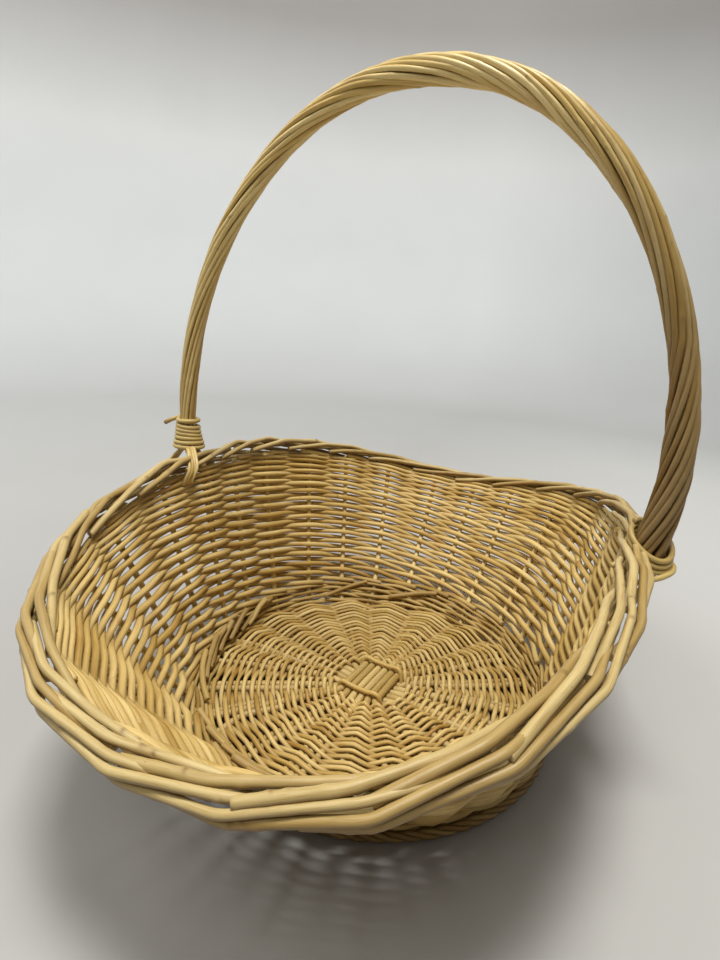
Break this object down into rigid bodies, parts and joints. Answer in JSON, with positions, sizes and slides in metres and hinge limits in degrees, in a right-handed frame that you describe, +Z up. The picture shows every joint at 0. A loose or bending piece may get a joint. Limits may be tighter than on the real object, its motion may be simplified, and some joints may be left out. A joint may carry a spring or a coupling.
{
  "type": "woven market basket",
  "caption": "Oval woven willow market basket with a round stick-cross base, flared randed wall, rolled border and a tall roped hoop handle lashed at both feet.",
  "frame": {"origin": "middle of the foot, on the surface that the basket stands on", "axes": "+Z up, X along the handle's span, Y along the basket's length"},
  "size_m": [0.3482, 0.459, 0.411],
  "materials": {
    "weaver_willow": "satin, peeled buff willow, fine rods with some tan staining",
    "stick_willow": "matt, peeled willow sticks and stakes, slightly darker",
    "shaded_willow": "matt, peeled willow, tan and shaded at the foot",
    "border_willow": "satin, smooth pale peeled rods",
    "handle_willow": "satin, smooth pale peeled rods with small nodes",
    "lashing_willow": "satin, thin split willow"
  },
  "bodies": {
    "root": {"foot_rim": "shaded_willow", "base_sticks_lower": "stick_willow", "base_sticks_upper": "stick_willow", "base_tie": "weaver_willow", "base_pairing_inner": "weaver_willow", "base_pairing_middle": "weaver_willow", "base_pairing_outer": "weaver_willow", "stakes_right": "stick_willow", "stakes_back": "stick_willow", "stakes_left": "stick_willow", "stakes_front": "stick_willow", "upsett_wale": "shaded_willow", "randing_lower": "weaver_willow", "randing_middle": "weaver_willow", "randing_upper": "weaver_willow", "border_under_right": "border_willow", "border_under_back": "border_willow", "border_under_left": "border_willow", "border_under_front": "border_willow", "border_over_right": "border_willow", "border_over_back": "border_willow", "border_over_left": "border_willow", "border_over_front": "border_willow", "handle_bow": "stick_willow", "roping_1": "handle_willow", "roping_2": "handle_willow", "roping_3": "handle_willow", "roping_4": "handle_willow", "roping_5": "handle_willow", "roping_6": "handle_willow", "roping_7": "handle_willow", "roping_8": "handle_willow", "roping_9": "handle_willow", "roping_10": "handle_willow", "roping_11": "handle_willow", "roping_12": "handle_willow", "lashing_left": "lashing_willow", "lashing_right": "lashing_willow"}
  },
  "joints": []
}
